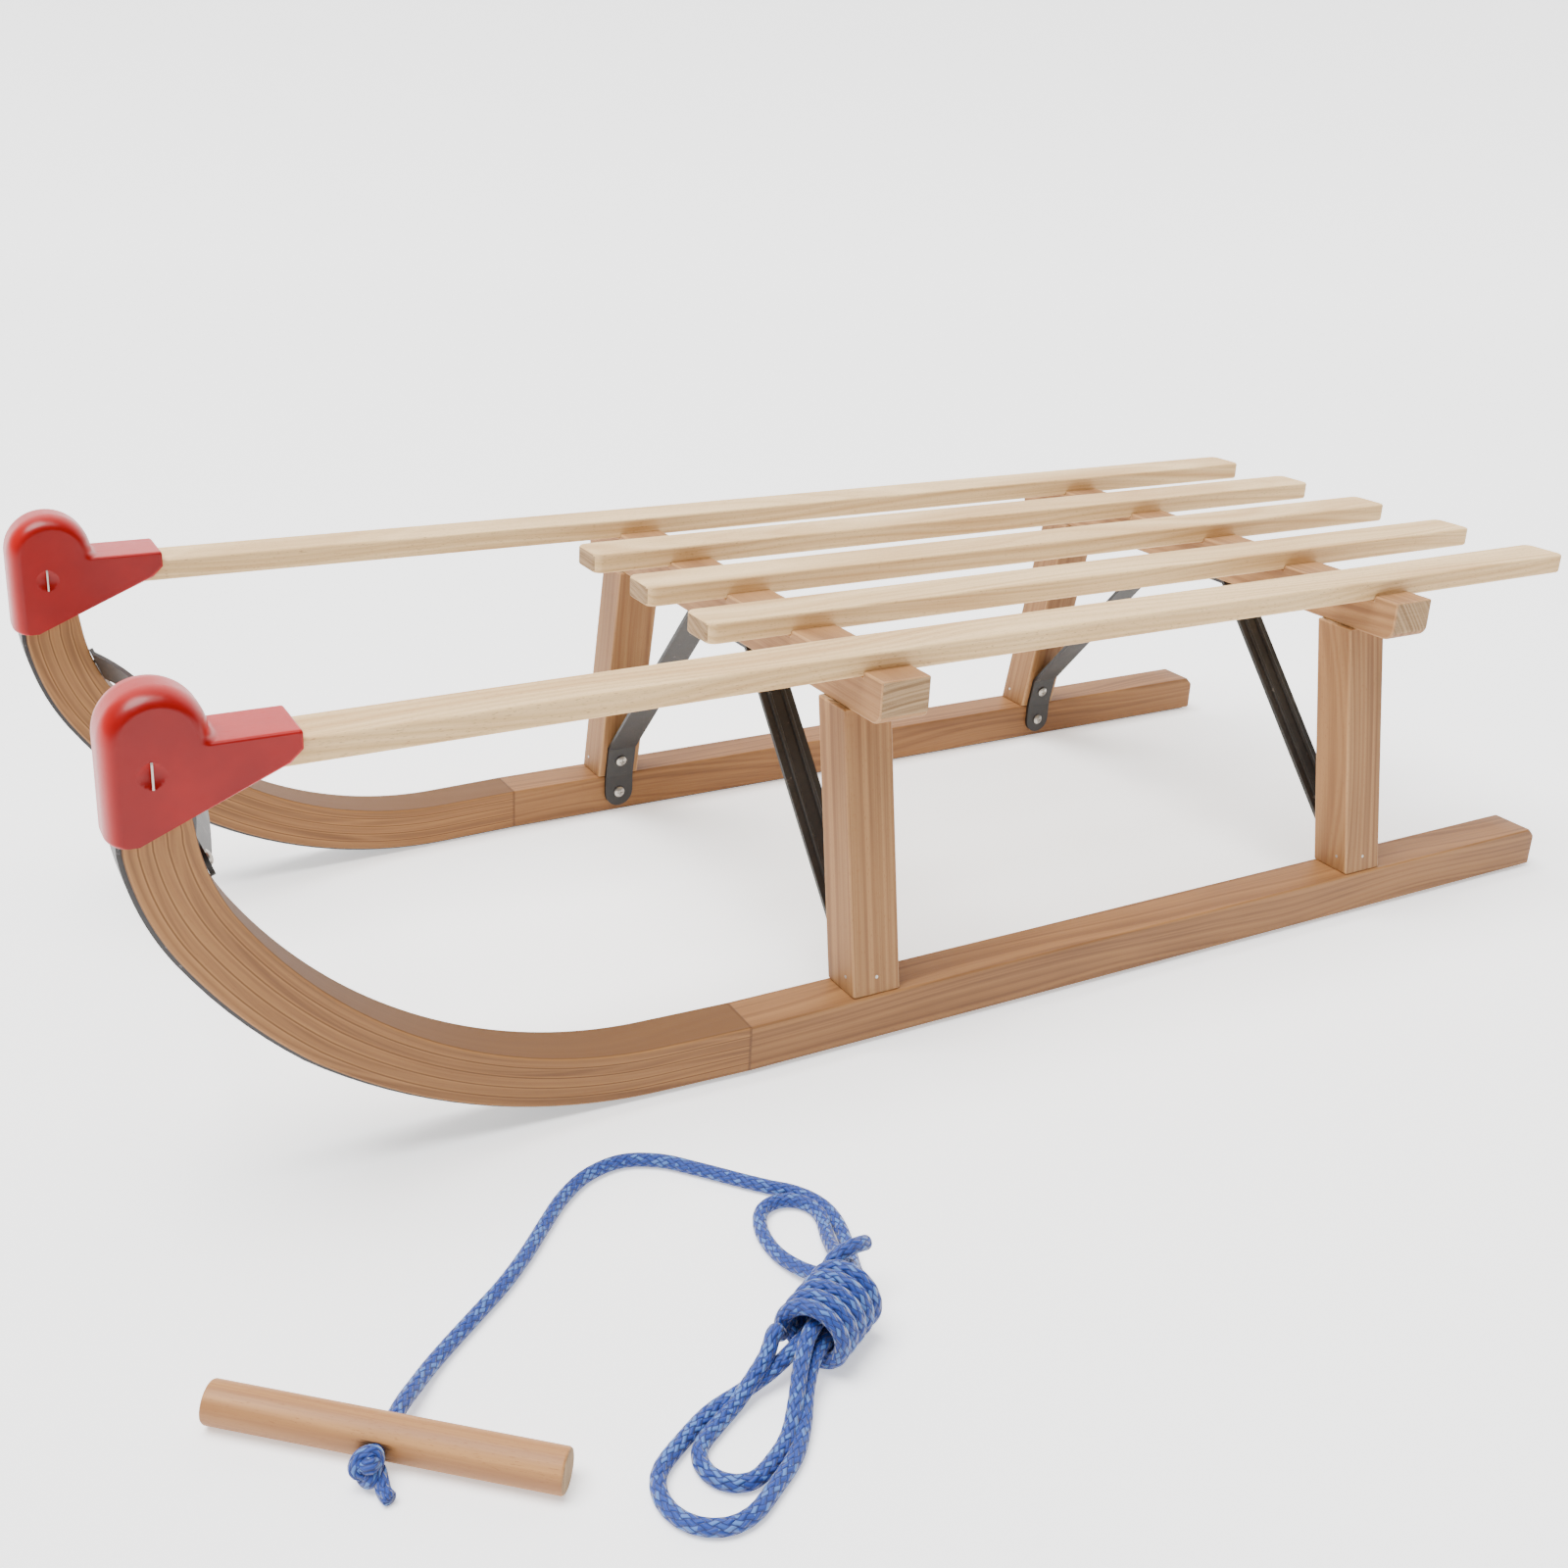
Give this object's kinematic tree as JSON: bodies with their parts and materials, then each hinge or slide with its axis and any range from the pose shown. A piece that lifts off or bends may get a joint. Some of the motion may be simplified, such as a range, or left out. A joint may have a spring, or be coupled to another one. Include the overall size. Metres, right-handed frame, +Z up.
{
  "type": "wooden toboggan",
  "caption": "Slatted wooden sled on bent runners with steel stays, plastic horn caps and a loose pull rope with a dowel grip.",
  "frame": {"origin": "on the ground under the middle of the sled", "axes": "+X is the direction of travel, towards the horns; +Y is the sled's left; +Z is up"},
  "size_m": [0.9907, 0.6575, 0.265],
  "materials": {
    "slat_beech": "clear satin lacquer on pale beech",
    "frame_beech": "clear satin lacquer on beech",
    "runner_beech": "clear satin lacquer on bent, kerf-glued beech",
    "grip_beech": "smooth turned beech dowel",
    "stay_steel": "black-brown semi-gloss paint",
    "shoe_steel": "dark rolled steel strip",
    "zinc_screw": "zinc plated",
    "cap_plastic": "glossy moulded red plastic",
    "rope_braid": "braided polypropylene, blue with pale flecks"
  },
  "bodies": {
    "sled": {"runner_left": "runner_beech", "runner_right": "runner_beech", "runner_shoe_left": "shoe_steel", "runner_shoe_right": "shoe_steel", "shoe_screws": "zinc_screw", "front_beam": "frame_beech", "rear_beam": "frame_beech", "post_front_left": "frame_beech", "post_front_right": "frame_beech", "post_rear_left": "frame_beech", "post_rear_right": "frame_beech", "post_nails": "zinc_screw", "slat_outer_left": "slat_beech", "slat_inner_left": "slat_beech", "slat_centre": "slat_beech", "slat_inner_right": "slat_beech", "slat_outer_right": "slat_beech", "slat_screws": "zinc_screw", "stay_front_left": "stay_steel", "stay_front_right": "stay_steel", "stay_rear_left": "stay_steel", "stay_rear_right": "stay_steel", "stay_screws": "zinc_screw", "front_tie": "stay_steel", "tie_screws": "zinc_screw", "horn_cap_left": "cap_plastic", "horn_cap_right": "cap_plastic", "cap_staples": "zinc_screw", "horn_screws": "zinc_screw"},
    "pull_rope": {"pull_rope": "rope_braid", "rope_hank": "rope_braid", "rope_knot": "rope_braid"},
    "grip": {"grip": "grip_beech"}
  },
  "joints": [
    {"name": "rope_lift", "type": "slide", "parent": "sled", "child": "pull_rope", "axis": [0, 0, 1], "range_m": [0, 0.15]},
    {"name": "grip_turn", "type": "hinge", "parent": "pull_rope", "child": "grip", "pos_m": [0.431, 0.367, 0.009], "axis": [0.6388, 0.7694, 0], "range_deg": [-180, 180]}
  ]
}
